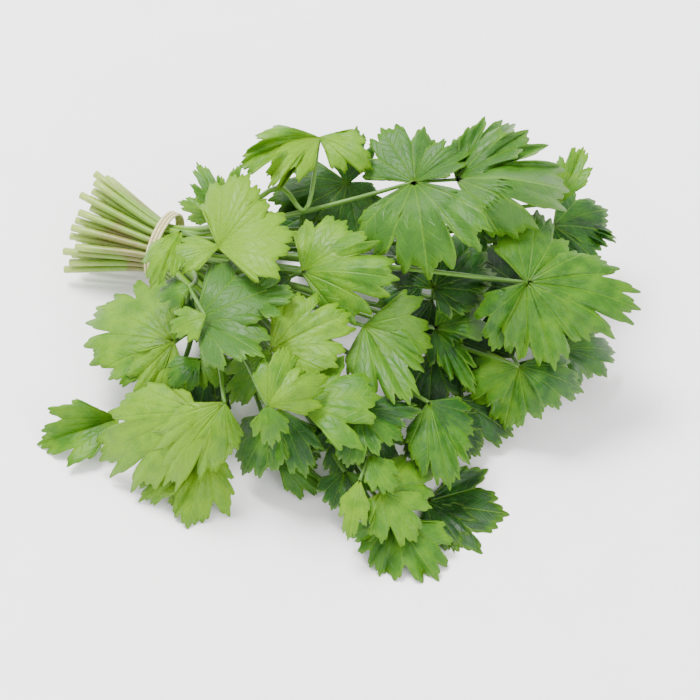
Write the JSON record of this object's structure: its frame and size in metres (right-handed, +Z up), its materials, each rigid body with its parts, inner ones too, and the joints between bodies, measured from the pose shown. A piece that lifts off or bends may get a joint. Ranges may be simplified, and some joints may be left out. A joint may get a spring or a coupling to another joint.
{
  "type": "coriander bunch",
  "caption": "Bunch of fresh coriander lying on its side: lobed, toothed leaflets on thin fanned stems, held together by a tie near the cut ends.",
  "frame": {"origin": "middle of the bunch's box, at the height of the table that it lies on", "axes": "+Z up from the table, +X to the right of the viewer in front, cut ends at the left, leafy crown to the right and to the front, +Y away from the viewer"},
  "size_m": [0.2562, 0.2024, 0.1088],
  "materials": {
    "bright_green_leaf": "fresh yellow-green leaf, softly waxy, on a paler stem",
    "grey_green_leaf": "mature muted green leaf, softly waxy, on a paler stem",
    "deep_green_leaf": "deep green leaf, softly waxy, on a paler stem",
    "tie": "pale straw strands, dull"
  },
  "bodies": {
    "root": {"stem_arched": "bright_green_leaf", "stem_back_1": "deep_green_leaf", "stem_back_2": "deep_green_leaf", "stem_back_3": "deep_green_leaf", "stem_back_4": "deep_green_leaf", "stem_back_5": "deep_green_leaf", "stem_back_dark": "deep_green_leaf", "stem_far_right": "bright_green_leaf", "stem_front_bright": "bright_green_leaf", "stem_front_dark": "deep_green_leaf", "stem_front_low": "bright_green_leaf", "stem_front_narrow": "bright_green_leaf", "stem_front_notched": "deep_green_leaf", "stem_front_pale": "bright_green_leaf", "stem_front_right": "bright_green_leaf", "stem_front_shade": "deep_green_leaf", "stem_front_upper": "bright_green_leaf", "stem_grey_green": "grey_green_leaf", "stem_inner_dark": "deep_green_leaf", "stem_inner_lobed": "deep_green_leaf", "stem_inner_narrow": "deep_green_leaf", "stem_inner_pale": "deep_green_leaf", "stem_left_broad": "bright_green_leaf", "stem_left_curly": "bright_green_leaf", "stem_left_folded": "bright_green_leaf", "stem_left_front": "bright_green_leaf", "stem_left_pale": "bright_green_leaf", "stem_left_young": "bright_green_leaf", "stem_middle": "bright_green_leaf", "stem_middle_front": "bright_green_leaf", "stem_middle_right": "grey_green_leaf", "stem_middle_top": "bright_green_leaf", "stem_right_1": "deep_green_leaf", "stem_right_2": "deep_green_leaf", "stem_right_back": "deep_green_leaf", "stem_right_bright": "bright_green_leaf", "stem_right_low": "deep_green_leaf", "stem_right_upright": "bright_green_leaf", "stem_top_left": "bright_green_leaf", "stem_top_right": "grey_green_leaf", "stem_upright_edge": "bright_green_leaf", "tie": "tie"}
  },
  "joints": []
}
